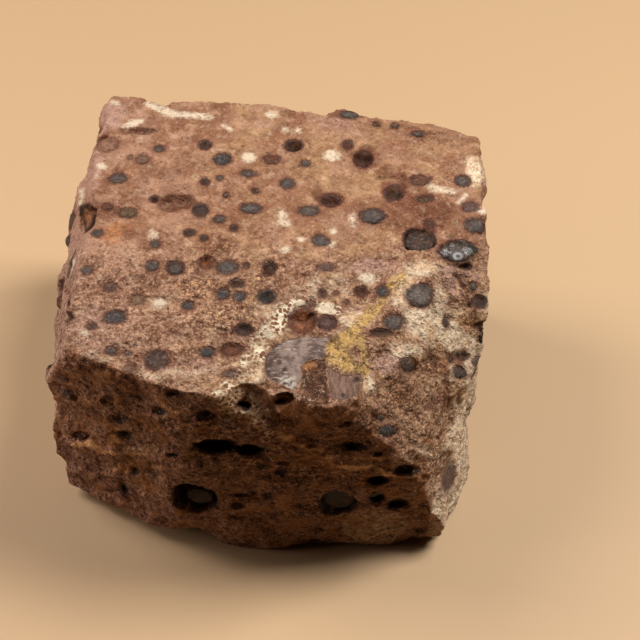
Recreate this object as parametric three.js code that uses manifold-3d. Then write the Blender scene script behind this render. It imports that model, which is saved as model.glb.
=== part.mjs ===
// A hand specimen of pisolitic bauxite: one broken block of rock, standing on its flattest face.
// Millimetres, +Z up, origin at the bottom centre of the block.
//
// The block is made the way it broke. Flat fracture faces bound a convex block, a slow swell
// and a few dents and bulges take the flatness out of them, and then the round pea-like
// pisoliths are set in: the ones that fell out left sockets, the ones that stayed stand proud.

import * as THREE from 'three';
import { ConvexGeometry } from 'three/addons/geometries/ConvexGeometry.js';
import { ImprovedNoise } from 'three/addons/math/ImprovedNoise.js';
import { TessellateModifier } from 'three/addons/modifiers/TessellateModifier.js';
import { mergeVertices } from 'three/addons/utils/BufferGeometryUtils.js';
import Module from 'manifold-3d';

// ---------------------------------------------------------------- driving dimensions

const HEIGHT = 49.2;          // top fracture face above the face that it stands on
const FRONT = -33.4;          // y of the front face
const LEFT = -37.2;           // x of the left side at its widest
const RIGHT = 38.4;           // x of the right side
const BACK = 31.3;            // y of the back face, at the middle of the block

const FACET_EDGE = 5.6;       // longest edge of a facet on the block
const FACET_ROUNDS = 16;      // most times that the faces are halved to reach it
const SWELL = 0.75;           // height of the slow swell over the faces
const SWELL_LENGTH = 9.5;     // spacing of the swell's bumps
const RIPPLE = 0.5;           // height of the shorter bumps on top of the swell
const RIPPLE_LENGTH = 4.4;    // spacing of the shorter bumps

const CLAST_TOP = 49.9;       // top of the flat pebble fused into the front edge
const CLAST_DEPTH = 5;        // how deep the pebble is let into the block
const CLAST_BEVEL = 0.6;      // worn edge around its top
const CLAST_TILT = 0.6;       // degrees that its top leans to the front

const PAD_HALF_WIDTH = 20;    // flat resting pad in the middle of the base
const PAD_HALF_DEPTH = 17;

// What is on the top and the front is given where it is seen from this point, on a flat plane
// laid over that side.
const SIGHT = [10.3, -137.6, 207.7];
const TOP_PLANE = 50;         // z of the plane laid over the top
const FAR_OFF = 90;           // distance that the other sides are sighted from, straight at them

const ROCK_COLOUR = 0x8a5a48;

// ---------------------------------------------------------------- fracture faces

// Each fracture face is a plane, given by its outward normal and one point on it.
const FRACTURE_FACES = [
  { name: 'top', normal: [0, 0, 1], point: [0, 0, HEIGHT] },
  { name: 'base', normal: [0, 0, -1], point: [0, 0, 0] },
  { name: 'front', normal: [0, -1, 0], point: [0, FRONT, 0] },
  { name: 'front left', normal: [-0.46, -0.885, 0.05], point: [-24.5, -26.3, HEIGHT] },
  { name: 'front left brow', normal: [-0.28, -0.955, 0.1], point: [-12, -31.9, HEIGHT] },
  { name: 'front left foot', normal: [-0.3, -0.56, -0.77], point: [-20, -30.1, 2.2] },
  { name: 'front right foot', normal: [0.256, -0.292, -0.92], point: [24, FRONT, 0] },
  { name: 'left shoulder', normal: [-0.92, 0.046, 0.385], point: [-28.9, 0, HEIGHT] },
  { name: 'left', normal: [-1, 0, 0], point: [LEFT, 0, 25] },
  { name: 'left foot', normal: [-0.9, 0.1, -0.42], point: [LEFT, 5, 9] },
  { name: 'back left', normal: [0.093, 0.996, 0], point: [0, BACK + 0.2, 25] },
  { name: 'back right', normal: [0.236, 0.972, 0], point: [6.6, BACK - 0.4, 25] },
  { name: 'back foot', normal: [0.1, 0.85, -0.5], point: [0, BACK, 7] },
  { name: 'back left corner', normal: [-0.66, 0.75, -0.06], point: [-33.6, 31.2, 25] },
  { name: 'right', normal: [0.999, 0.005, -0.03], point: [RIGHT, 0, 25] },
  { name: 'right foot', normal: [0.86, 0.2, -0.47], point: [RIGHT, 6, 8] },
  { name: 'front right, bleached', normal: [0.943, -0.33, 0.025], point: [33.8, -30.4, 0] },
  { name: 'front right, granular', normal: [0.644, -0.604, 0.469], point: [13.4, FRONT, 46.3] },
  { name: 'front right, crumbling', normal: [0.72, -0.64, 0.263], point: [27.1, FRONT, 22.8] },
  { name: 'front right slope', normal: [0.435, -0.36, 0.825], point: [21, -18, HEIGHT - 0.4] },
];

// Dents and bulges: place, reach over the surface, and height along the surface, all in mm.
const DENTS_AND_BULGES = [
  { at: [-18, -31, 43], reach: 9, height: -1.5 },     // hollow under the front edge
  { at: [-6, -33, 41], reach: 7, height: -1.2 },
  { at: [5, -34, 45], reach: 4.5, height: -1.9 },     // crevice below the pebble
  { at: [-13, -32.5, 27], reach: 7, height: 0.9 },
  { at: [6, -33.5, 22], reach: 8, height: 0.8 },
  { at: [-29.5, -25, 45], reach: 3.6, height: 1.0 },  // knobs down the front left corner
  { at: [-32, -23.5, 37], reach: 4, height: 0.3 },
  { at: [-36.5, -21, 28], reach: 10, height: -2.2 },
  { at: [-35.5, -11, 40], reach: 6, height: 0.3 },    // knobs down the left shoulder
  { at: [-34, 3, 43], reach: 5, height: 1.6 },
  { at: [-33, 12.5, 45], reach: 5, height: 2.9 },
  { at: [-32.5, 21.5, 46], reach: 4.5, height: 1.7 },
  { at: [-35, 22, 38], reach: 5, height: -1.2 },
  { at: [-38, 8, 25], reach: 9, height: 0.3 },
  { at: [-36.5, 24, 28], reach: 9, height: 0.8 },
  { at: [-38, -8, 14], reach: 8, height: -1.3 },
  { at: [-37.5, 14, 13], reach: 9, height: 2.2 },
  { at: [-29.5, 34, 47], reach: 6, height: 1.4 },     // knobs along the back edge
  { at: [15.7, 29, 50], reach: 4, height: 2.3 },
  { at: [21.5, 28, 50], reach: 5.5, height: 2.3 },
  { at: [31, 26, 49.5], reach: 4.5, height: 1.5 },
  { at: [-6, 32, 49], reach: 5, height: 1.1 },
  { at: [-17, 33, 47], reach: 5, height: -1.3 },
  { at: [27, 26, 49], reach: 5, height: 1.0 },
  { at: [34, 24, 49], reach: 5, height: 1.4 },
  { at: [38.6, 18, 43], reach: 6, height: 2.1 },      // pale knob on the right
  { at: [38.5, -2, 43], reach: 6, height: -0.3 },
  { at: [38.5, -11, 33], reach: 6, height: 1.1 },
  { at: [38.5, 2, 24], reach: 9, height: -1.6 },
  { at: [38, 15, 16], reach: 7, height: 1.2 },
  { at: [-12, 33, 27], reach: 10, height: -1.8 },     // shallow flake scars on the back
  { at: [16, 30, 20], reach: 10, height: -1.5 },
  { at: [27, 27, 34], reach: 7, height: 1.3 },
  { at: [2, 32, 36], reach: 7, height: 1.1 },
  { at: [-14, 6.5, 50], reach: 4.5, height: -1.0 },   // rough hollows in the top
  { at: [12, 7, 50], reach: 4.5, height: -1.3 },
  { at: [18.5, 17.5, 50], reach: 4.2, height: -1.3 },
  { at: [-20, 21, 50], reach: 7, height: 0.5 },
  { at: [33, 16, 50], reach: 7, height: -0.9 },
  { at: [4, -9, 50], reach: 8, height: 0.5 },
  { at: [1, -34, 0], reach: 7, height: 1.9 },         // foot of the front face
  { at: [-13, -33, 1], reach: 8, height: -2.2 },
  { at: [19, -34, 0], reach: 7, height: -1.1 },
  { at: [29, -32, 1], reach: 7, height: -1.6 },
  { at: [24, -33, 31], reach: 5, height: 0.5 },       // crumbling corner, front right
  { at: [26, -24, 42.5], reach: 5, height: -0.7 },
  { at: [22, -29, 36], reach: 6, height: -0.8 },
  { at: [33, -27, 18], reach: 7, height: -0.9 },
];

// ---------------------------------------------------------------- pisoliths and their sockets

// side: the side that it is on. at: place in the plane of that side, across and up (on the
// top: x and y). size: half width and half height. turn: degrees. form: a socket is empty,
// a nested pisolith sits inside its socket, and a dome or a low dome stands out of the rock.
// The line of sight crosses the plane of the side at that place and goes on to the rock.
const SHOWN_PISOLITHS = [
  // front face
  { side: 'front', at: [-11.3, 18], size: [3.9, 4.8], turn: 15, form: 'nested' },
  { side: 'front', at: [-6.6, 35.2], size: [3.6, 2.2], turn: 12, form: 'socket' },
  { side: 'front', at: [-1, 34.2], size: [2.4, 1.6], turn: 25, form: 'socket' },
  { side: 'front', at: [-1.5, 46.4], size: [1.3, 1.3], turn: 0, form: 'socket' },
  { side: 'front', at: [-7.6, 45], size: [1.5, 1.1], turn: 0, form: 'socket' },
  { side: 'front', at: [-14.5, 45.8], size: [1.1, 1], turn: 0, form: 'socket' },
  { side: 'front', at: [-21.4, 43.3], size: [1.4, 1.1], turn: 0, form: 'socket' },
  { side: 'front', at: [-20.8, 39], size: [1.2, 1.1], turn: 0, form: 'socket' },
  { side: 'front', at: [-26, 22], size: [2.2, 2.2], turn: 0, form: 'dome' },
  { side: 'front', at: [-23.2, 21.4], size: [0.9, 2], turn: 10, form: 'socket' },
  { side: 'front', at: [-20.6, 27.5], size: [1.1, 1.3], turn: 0, form: 'socket' },
  { side: 'front', at: [13.5, 16.2], size: [3.1, 4.3], turn: 0, form: 'nested' },
  { side: 'front', at: [20, 24.3], size: [1.9, 1.3], turn: -10, form: 'socket' },
  { side: 'front', at: [20.3, 17.9], size: [1.2, 1.7], turn: -8, form: 'socket' },
  { side: 'front', at: [24, 15.7], size: [1.9, 1.8], turn: -20, form: 'socket' },
  { side: 'front', at: [24.5, 27.2], size: [1.7, 1.9], turn: 0, form: 'socket' },
  { side: 'front', at: [15.6, 35.4], size: [2.3, 1.2], turn: 12, form: 'socket' },
  // top face and the slope in front of it
  { side: 'top', at: [7.5, -18.8], size: [2.5, 2.7], turn: 0, form: 'socket' },
  { side: 'top', at: [33.2, -4.4], size: [3.3, 2.5], turn: 0, form: 'dome' },
  { side: 'top', at: [26.9, -1.8], size: [2.7, 2.6], turn: 0, form: 'nested' },
  { side: 'top', at: [26.5, -13.8], size: [2.5, 2.5], turn: 0, form: 'low dome' },
  { side: 'top', at: [22, -19.2], size: [1.8, 1.7], turn: 0, form: 'low dome' },
  { side: 'top', at: [-28.2, 2.7], size: [2.3, 2.4], turn: 0, form: 'nested' },
  { side: 'top', at: [-22.5, -18.2], size: [1.8, 1.5], turn: 0, form: 'low dome' },
  { side: 'top', at: [-15.1, -26.6], size: [1.8, 1.9], turn: 0, form: 'low dome' },
  { side: 'top', at: [19.2, 3.4], size: [2.3, 1.8], turn: 0, form: 'dome' },
  { side: 'top', at: [23, 8.7], size: [1.8, 2.1], turn: 0, form: 'socket' },
  { side: 'top', at: [5.5, 20.2], size: [2, 1.8], turn: 0, form: 'socket' },
  { side: 'top', at: [-27.7, 20.5], size: [2, 1.9], turn: 0, form: 'socket' },
  { side: 'top', at: [8.4, 4.6], size: [1.9, 1.3], turn: 0, form: 'low dome' },
  { side: 'top', at: [36.6, 1.2], size: [1.8, 2], turn: 0, form: 'dome' },
  { side: 'top', at: [27.8, 11.8], size: [2, 1.4], turn: 0, form: 'low dome' },
  { side: 'top', at: [-8.4, -6.9], size: [1.5, 1.4], turn: 0, form: 'socket' },
  { side: 'top', at: [1.6, -14], size: [1.6, 1.5], turn: 0, form: 'socket' },
];

// The other sides carry the same pisoliths, scattered evenly over a window on each side:
// how many there are, and where the window starts and ends across and up.
const SCATTERED_PISOLITHS = [
  { side: 'left', count: 9, across: [-18, 28], up: [6, 42] },
  { side: 'back', count: 12, across: [-27, 28], up: [7, 44] },
  { side: 'right', count: 7, across: [-9, 20], up: [7, 41] },
];

// Outline of the flat pebble in the front edge, seen from above.
const CLAST_OUTLINE = [
  [1.8, -29.6], [1.8, -26], [3.6, -23.4], [7.2, -22], [11.8, -22.1], [12.8, -25.4],
  [14.2, -28.4], [16.6, -29.2], [16.6, -32.2], [14.2, -34], [9, -34.4], [4.4, -32.6],
];

// ---------------------------------------------------------------- block

/** Planes as three.js planes, with the outward normal made one long. */
function fracturePlanes() {
  return FRACTURE_FACES.map(({ normal, point }) => {
    const n = new THREE.Vector3(...normal).normalize();
    return new THREE.Plane().setFromNormalAndCoplanarPoint(n, new THREE.Vector3(...point));
  });
}

/** The corners of the convex block: where three planes meet inside all the others. */
function blockCorners(planes) {
  const corners = [];
  for (let i = 0; i < planes.length; i += 1) {
    for (let j = i + 1; j < planes.length; j += 1) {
      for (let k = j + 1; k < planes.length; k += 1) {
        const corner = meetingPoint(planes[i], planes[j], planes[k]);
        if (corner && planes.every((plane) => plane.distanceToPoint(corner) < 1e-6)) {
          corners.push(corner);
        }
      }
    }
  }
  return corners;
}

/** The point shared by three planes, or null where they have no single one. */
function meetingPoint(a, b, c) {
  const ab = new THREE.Vector3().crossVectors(a.normal, b.normal);
  const bc = new THREE.Vector3().crossVectors(b.normal, c.normal);
  const ca = new THREE.Vector3().crossVectors(c.normal, a.normal);
  const spread = a.normal.dot(bc);
  if (Math.abs(spread) < 1e-6) {
    return null;
  }
  return new THREE.Vector3()
    .addScaledVector(bc, -a.constant)
    .addScaledVector(ca, -b.constant)
    .addScaledVector(ab, -c.constant)
    .divideScalar(spread);
}

/** One geometry with only shared positions, as a closed surface needs. */
function welded(geometry) {
  const bare = geometry.clone();
  bare.deleteAttribute('normal');
  bare.deleteAttribute('uv');
  return mergeVertices(bare, 1e-3);
}

const noise = new ImprovedNoise();

/** Height of the swell and the ripples at a point of the surface. */
function swellAt(p) {
  const s = SWELL_LENGTH;
  const r = RIPPLE_LENGTH;
  const swell = noise.noise(p.x / s + 3.1, p.y / s + 7.7, p.z / s + 1.3);
  const ripple = noise.noise(p.x / r + 11.2, p.y / r + 2.9, p.z / r + 5.4);
  return 2 * (SWELL * swell + RIPPLE * ripple);
}

/** Height that the dents and bulges add at a point of the surface. */
function dentAt(p) {
  let height = 0;
  for (const dent of DENTS_AND_BULGES) {
    const away = p.distanceTo(new THREE.Vector3(...dent.at)) / dent.reach;
    if (away < 1) {
      height += dent.height * (1 - away * away) ** 2;
    }
  }
  return height;
}

/** The fracture block, cut into small facets and pushed in and out along its surface. */
function roughBlock() {
  const hull = new ConvexGeometry(blockCorners(fracturePlanes()));
  const block = welded(new TessellateModifier(FACET_EDGE, FACET_ROUNDS).modify(hull));
  block.computeVertexNormals();
  const places = block.getAttribute('position');
  const normals = block.getAttribute('normal');
  for (let i = 0; i < places.count; i += 1) {
    const place = new THREE.Vector3().fromBufferAttribute(places, i);
    const normal = new THREE.Vector3().fromBufferAttribute(normals, i);
    const onBase = place.z < 1e-3;
    const height = swellAt(place) + dentAt(place);
    place.addScaledVector(normal, height);
    if (onBase) {
      place.z = baseHeight(place, height);
    }
    places.setXYZ(i, place.x, place.y, Math.max(place.z, 0));
  }
  return block;
}

/** The base stays flat under the middle of the block and has shallow hollows around that. */
function baseHeight(place, height) {
  const onPad = Math.abs(place.x) < PAD_HALF_WIDTH && Math.abs(place.y) < PAD_HALF_DEPTH;
  return onPad ? 0 : Math.max(0, -height - 0.2);
}

// ---------------------------------------------------------------- setting things in the block

// Each side: the way out of it, the way across it, where it is sighted from, and what through.
const SIDES = {
  top: {
    out: [0, 0, 1], across: [1, 0, 0], eye: () => SIGHT, mark: ([x, y]) => [x, y, TOP_PLANE],
  },
  front: {
    out: [0, -1, 0], across: [1, 0, 0], eye: () => SIGHT, mark: ([x, z]) => [x, FRONT, z],
  },
  back: {
    out: [0, 1, 0], across: [-1, 0, 0], eye: ([x, z]) => [x, FAR_OFF, z], mark: ([x, z]) => [x, 0, z],
  },
  left: {
    out: [-1, 0, 0], across: [0, -1, 0], eye: ([y, z]) => [-FAR_OFF, y, z], mark: ([y, z]) => [0, y, z],
  },
  right: {
    out: [1, 0, 0], across: [0, 1, 0], eye: ([y, z]) => [FAR_OFF, y, z], mark: ([y, z]) => [0, y, z],
  },
};

/** The place where a side's line of sight meets the block, with its outward normal. */
function spotOn(block, side, at) {
  const eye = new THREE.Vector3(...SIDES[side].eye(at));
  const mark = new THREE.Vector3(...SIDES[side].mark(at));
  const ray = new THREE.Raycaster(eye, mark.sub(eye).normalize());
  const [hit] = ray.intersectObject(block);
  return { point: hit.point, normal: hit.face.normal.clone().normalize() };
}

/** An ellipsoid lying in the surface at a spot: sizes across, up and into the rock. */
function ellipsoidAt(spot, side, sizes, turn, lift) {
  const outward = new THREE.Vector3(...SIDES[side].out).lerp(spot.normal, 0.5).normalize();
  const across = new THREE.Vector3(...SIDES[side].across);
  const up = new THREE.Vector3().crossVectors(outward, across).normalize();
  across.crossVectors(up, outward);
  const frame = new THREE.Matrix4().makeBasis(across, up, outward);
  // the larger ones are given more sides
  const sides = Math.round(4 + 1.4 * Math.max(sizes[0], sizes[1]));
  const ellipsoid = new THREE.SphereGeometry(1, sides, Math.round(sides / 2));
  ellipsoid.rotateX(Math.PI / 2);
  ellipsoid.scale(...sizes);
  ellipsoid.rotateZ(THREE.MathUtils.degToRad(turn));
  ellipsoid.applyMatrix4(frame);
  ellipsoid.translate(...spot.point.clone().addScaledVector(outward, lift).toArray());
  return ellipsoid;
}

/** The part of a number after the point. */
function fraction(value) {
  return value - Math.floor(value);
}

/** Pisoliths for the sides that have none listed, evenly spread by two irrational steps. */
function scatteredPisoliths() {
  const forms = ['socket', 'dome', 'nested'];
  return SCATTERED_PISOLITHS.flatMap(({ side, count, across, up }) => (
    Array.from({ length: count }, (_, k) => {
      // half heights of 1.3 to 3.3 mm, most of them small
      const half = 1.3 + 2 * fraction(0.2 + 0.618 * k) ** 2;
      return {
        side,
        at: [
          THREE.MathUtils.lerp(...across, fraction(0.5 + 0.7549 * k)),
          THREE.MathUtils.lerp(...up, fraction(0.5 + 0.5698 * k)),
        ],
        size: [half * (1 + 0.3 * fraction(0.414 * k)), half],
        turn: 50 * k,
        form: forms[k % forms.length],
      };
    })
  ));
}

/** The flat pebble: its outline, extruded downwards into the block, with a worn top edge. */
function clastGeometry() {
  const outline = new THREE.Shape(CLAST_OUTLINE.map(([x, y]) => new THREE.Vector2(x, y)));
  const slab = new THREE.ExtrudeGeometry(outline, {
    depth: CLAST_DEPTH - CLAST_BEVEL,
    bevelEnabled: true,
    bevelThickness: CLAST_BEVEL,
    bevelSize: CLAST_BEVEL,
    bevelOffset: -CLAST_BEVEL,
    bevelSegments: 1,
  });
  slab.translate(0, 0, CLAST_TOP - CLAST_DEPTH);
  slab.rotateX(THREE.MathUtils.degToRad(CLAST_TILT));
  return slab;
}

// ---------------------------------------------------------------- joining and cutting

const wasm = await Module();
wasm.setup();

/** A closed geometry as a solid that can be joined and cut. */
function solid(geometry) {
  const closed = welded(geometry);
  return new wasm.Manifold(new wasm.Mesh({
    numProp: 3,
    vertProperties: new Float32Array(closed.getAttribute('position').array),
    triVerts: new Uint32Array(closed.index.array),
  }));
}

/** A solid's surface as a three.js geometry. */
function surfaceOf(manifold) {
  const mesh = manifold.getMesh();
  const geometry = new THREE.BufferGeometry();
  geometry.setAttribute('position', new THREE.BufferAttribute(mesh.vertProperties, 3));
  geometry.setIndex(new THREE.BufferAttribute(mesh.triVerts, 1));
  geometry.computeVertexNormals();
  return geometry;
}

/** The rock with one pisolith, or the socket that it left, set in its surface. */
function withPisolith(rock, block, { side, at, size: [wide, high], turn, form }) {
  const spot = spotOn(block, side, at);
  const mean = (wide + high) / 2;
  const body = (share, depth, lift) => solid(
    ellipsoidAt(spot, side, [wide * share, high * share, depth * mean], turn, lift * mean),
  );
  if (form === 'dome') {
    return rock.add(body(1, 0.8, -0.5));
  }
  if (form === 'low dome') {
    return rock.add(body(1, 0.6, -0.45));
  }
  const hollowed = rock.subtract(body(1.05, 1, 0.12));
  return form === 'nested' ? hollowed.add(body(0.78, 0.7, -0.72)) : hollowed;
}

function bauxiteGeometry() {
  const surface = roughBlock();
  const block = new THREE.Mesh(surface);
  let rock = solid(surface).add(solid(clastGeometry()));
  for (const pisolith of [...SHOWN_PISOLITHS, ...scatteredPisoliths()]) {
    rock = withPisolith(rock, block, pisolith);
  }
  return surfaceOf(rock);
}

// ---------------------------------------------------------------- model

const rockMaterial = new THREE.MeshStandardMaterial({
  color: ROCK_COLOUR,
  roughness: 0.9,
  metalness: 0,
  flatShading: true,
});

const stone = new THREE.Mesh(bauxiteGeometry(), rockMaterial);
stone.name = 'bauxite_stone';

const model = new THREE.Group();
model.add(stone);

export default model;
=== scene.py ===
import math

import bpy
import numpy as np
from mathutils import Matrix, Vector, noise
from mathutils.bvhtree import BVHTree


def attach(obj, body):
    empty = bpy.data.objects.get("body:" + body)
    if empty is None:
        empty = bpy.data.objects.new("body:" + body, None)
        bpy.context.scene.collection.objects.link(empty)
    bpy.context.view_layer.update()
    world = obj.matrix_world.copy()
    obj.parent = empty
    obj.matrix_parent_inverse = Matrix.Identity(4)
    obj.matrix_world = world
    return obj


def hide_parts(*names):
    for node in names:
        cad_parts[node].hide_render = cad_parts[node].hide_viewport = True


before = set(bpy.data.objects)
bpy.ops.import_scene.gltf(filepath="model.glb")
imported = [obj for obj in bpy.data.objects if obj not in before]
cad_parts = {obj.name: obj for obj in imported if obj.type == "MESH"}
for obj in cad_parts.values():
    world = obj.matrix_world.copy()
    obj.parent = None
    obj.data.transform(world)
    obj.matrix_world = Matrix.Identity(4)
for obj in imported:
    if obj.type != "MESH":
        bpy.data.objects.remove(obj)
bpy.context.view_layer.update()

# ---------------------------------------------------------------- camera
# A close view of the stone from in front and from well above it, level from side to side.
# Lengths are in millimetres here and all through the file, and MM turns them into metres.

MM = 0.001
EYE = (10.3, -137.6, 207.7)
DEGREES_BELOW_LEVEL = 53
LENS = 69.6
SENSOR_WIDTH = 36
NEAREST_DRAWN = 10

bpy.ops.object.camera_add(
    location=[v * MM for v in EYE],
    rotation=(math.radians(90 - DEGREES_BELOW_LEVEL), 0, 0),
)
camera = bpy.context.object
camera.data.lens = LENS
camera.data.sensor_width = SENSOR_WIDTH
camera.data.clip_start = NEAREST_DRAWN * MM
bpy.context.scene.camera = camera

# ---------------------------------------------------------------- floor and light
# A plain pale tabletop under two large soft lights, high up on the right and on the left and a
# little behind the stone, so that its front stands in its own shade. A weak third one, low down
# on the left, lights that side.

TABLE_WIDTH = 3000


def srgb(code):
    """A colour code such as #8a5a48 as the linear numbers that a shader takes."""
    parts = [int(code[i : i + 2], 16) / 255 for i in (1, 3, 5)]
    return [c / 12.92 if c <= 0.04045 else ((c + 0.055) / 1.055) ** 2.4 for c in parts] + [1]


bpy.ops.mesh.primitive_plane_add(size=TABLE_WIDTH * MM)
floor = bpy.context.object
floor.name = "tabletop"
floor_paint = bpy.data.materials.new("pale tabletop")
floor_paint.use_nodes = True
floor_shader = floor_paint.node_tree.nodes["Principled BSDF"]
floor_shader.inputs["Base Color"].default_value = srgb("#ab9272")
floor_shader.inputs["Roughness"].default_value = 0.6
floor.data.materials.append(floor_paint)


def soft_light(name, place, wide, deep, watts, tint):
    """A rectangular light at a place, tilted towards the stone."""
    x, y, z = place
    bpy.ops.object.light_add(
        type="AREA",
        location=[v * MM for v in place],
        rotation=(-math.atan2(y, z), math.atan2(x, z), 0),
    )
    light = bpy.context.object
    light.name = name
    light.data.shape = "RECTANGLE"
    light.data.size = wide * MM
    light.data.size_y = deep * MM
    light.data.energy = watts
    light.data.color = srgb(tint)[:3]


soft_light("right softbox", (250, 75, 430), 240, 130, 3.5, "#fff5ea")
soft_light("left softbox", (-300, 110, 400), 260, 160, 2.1, "#fff2e6")
soft_light("left fill", (-340, -20, 110), 160, 120, 0.48, "#ffe9da")

world = bpy.data.worlds.new("room")
world.use_nodes = True
world.node_tree.nodes["Background"].inputs["Color"].default_value = srgb("#d09a6c")
world.node_tree.nodes["Background"].inputs["Strength"].default_value = 0.01
bpy.context.scene.world = world
bpy.context.scene.view_settings.view_transform = "Standard"

# ---------------------------------------------------------------- rock
# One broken block of earthy red-brown bauxite. Its fracture faces come with the solid, and the
# crumbly surface that the break left is worked into them here.

VOXEL = 0.34                  # how far apart the points of the stone's fine mesh are
SMOOTHINGS = 9                # how many times it is smoothed, to take out its small steps
NOTCH = (0, 2.4, 0)           # how far the front edge is broken back, beside the pebble
NOTCH_X = -0.7                # and where
LEFT_EDGE = (-1.5, 0, 1.1)    # how far the left edge of the top stands out towards the back
WAIST = (-1.3, 0, 0)          # how far the right face is drawn in at half its height


def only(obj):
    """Makes obj the one selected and active object."""
    bpy.ops.object.select_all(action="DESELECT")
    obj.select_set(True)
    bpy.context.view_layer.objects.active = obj


def finish_with(obj, kind, **settings):
    """Adds a modifier and applies it."""
    modifier = obj.modifiers.new(kind.title(), kind)
    for name, value in settings.items():
        setattr(modifier, name, value)
    only(obj)
    bpy.ops.object.modifier_apply(modifier=modifier.name)


def points_of(obj):
    """The points of a mesh, one row each."""
    flat = np.empty(len(obj.data.vertices) * 3, np.float32)
    obj.data.vertices.foreach_get("co", flat)
    return flat.reshape(-1, 3).astype(float) / MM


def move_points(obj, places):
    """Puts the points of a mesh at these places, and none below the tabletop."""
    places[:, 2] = np.maximum(places[:, 2], 0)
    obj.data.vertices.foreach_set("co", (places * MM).astype(np.float32).ravel())
    obj.data.update()


def normals_of(obj):
    """The direction out of the surface at each point of a mesh."""
    flat = np.empty(len(obj.data.vertices) * 3, np.float32)
    obj.data.vertex_normals.foreach_get("vector", flat)
    return flat.reshape(-1, 3).astype(float)


def noise_over(places, spacing, shift):
    """Perlin noise from about -0.5 to 0.5, with bumps that far apart."""
    return np.array([noise.noise(Vector(p)) for p in places / spacing + shift])


def soft_step(low, high, values):
    """0 below low, 1 above high, and a smooth rise between them."""
    share = np.clip((values - low) / (high - low), 0, 1)
    return share * share * (3 - 2 * share)


# The solid comes as loose triangles, which are joined before it is meshed anew.
rock = bpy.data.objects.new("bauxite_block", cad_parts["bauxite_stone"].data.copy())
bpy.context.scene.collection.objects.link(rock)
rock.data.materials.clear()
only(rock)
bpy.ops.object.mode_set(mode="EDIT")
bpy.ops.mesh.select_all(action="SELECT")
bpy.ops.mesh.remove_doubles(threshold=1e-6)
bpy.ops.object.mode_set(mode="OBJECT")
finish_with(rock, "REMESH", mode="VOXEL", voxel_size=VOXEL * MM)
finish_with(rock, "SMOOTH", factor=0.5, iterations=SMOOTHINGS)

# Each of the three moves by all of its distance where every one of its ranges has been passed,
# and by less within them.
places = points_of(rock)
x, y, z = places.T
notch = soft_step(4.8, 0.8, np.abs(x - NOTCH_X)) * soft_step(43, 48.5, z)
notch *= soft_step(-29.5, -32.5, y)
edge = soft_step(-24, -28.5, x) * soft_step(38, 45, z) * soft_step(5, 11, y)
edge *= 1 - 0.6 * soft_step(22, 30, y)
waist = soft_step(28, 33, x) * soft_step(8, 15, z) * soft_step(38, 30, z)
waist *= soft_step(0, -12, y)
moved = np.outer(notch, NOTCH) + np.outer(edge, LEFT_EDGE) + np.outer(waist, WAIST)
move_points(rock, places + moved)

# ---------------------------------------------------------------- places on the rock
# Everything on the top and the front is placed by sighting it from the eye point through the
# plane of that side. What is on the other sides is sighted straight at the rock.

TOP_PLANE = 50
FRONT_PLANE = -33.4
# For each side, the direction across it, and for a place (a, b) on it, where it is sighted from
# and the point that it is sighted through.
SIDES = {
    "top": ((1, 0, 0), lambda a, b: EYE, lambda a, b: (a, b, TOP_PLANE)),
    "front": ((1, 0, 0), lambda a, b: EYE, lambda a, b: (a, FRONT_PLANE, b)),
    "back": ((-1, 0, 0), lambda a, b: (a, 90, b), lambda a, b: (a, 0, b)),
    "left": ((0, -1, 0), lambda a, b: (-90, a, b), lambda a, b: (0, a, b)),
    "right": ((0, 1, 0), lambda a, b: (90, a, b), lambda a, b: (0, a, b)),
    "base": ((1, 0, 0), lambda a, b: (a, b, -60), lambda a, b: (a, b, 0)),
}

smooth_rock = BVHTree.FromPolygons(
    points_of(rock).tolist(), [tuple(f.vertices) for f in rock.data.polygons]
)


def sighted(side, a, b):
    """The place on the rock that is sighted through (a, b) on a side's plane, or None."""
    _, eye_for, point_for = SIDES[side]
    eye = Vector(eye_for(a, b))
    return smooth_rock.ray_cast(eye, (Vector(point_for(a, b)) - eye).normalized())[0]


# ---------------------------------------------------------------- pisoliths
# Round pea-like bodies, 1 to 8 mm across, that grew in the soil before it hardened. Some were
# cut flush by the break, some stand proud, and some fell out and left their sockets.

# The colour of a pisolith near its rim, and at its heart.
COLOURS = {
    "ink": ("#26201e", "#34363d"),
    "slate": ("#382b28", "#4a4645"),
    "mauve": ("#462f2c", "#56413e"),
    "rust": ("#492720", "#5e3824"),
    "umber": ("#2f1b13", "#40291d"),
    "olive": ("#463322", "#574632"),
    "tan": ("#5e4330", "#715645"),
    "orange": ("#5a301c", "#925a3a"),
    "plum": ("#2a1c1a", "#40302d"),
    "grey": ("#3d3433", "#5f5c5a"),
    "clay": ("#7a5240", "#8f6b58"),
    # Near black: a dark pisolith with painted shade in it, for those that lie deep in the front's
    # shade.
    "coal": ("#160d09", "#291b14"),
    "glass": ("#15110f", "#433d3c"),
}

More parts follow.
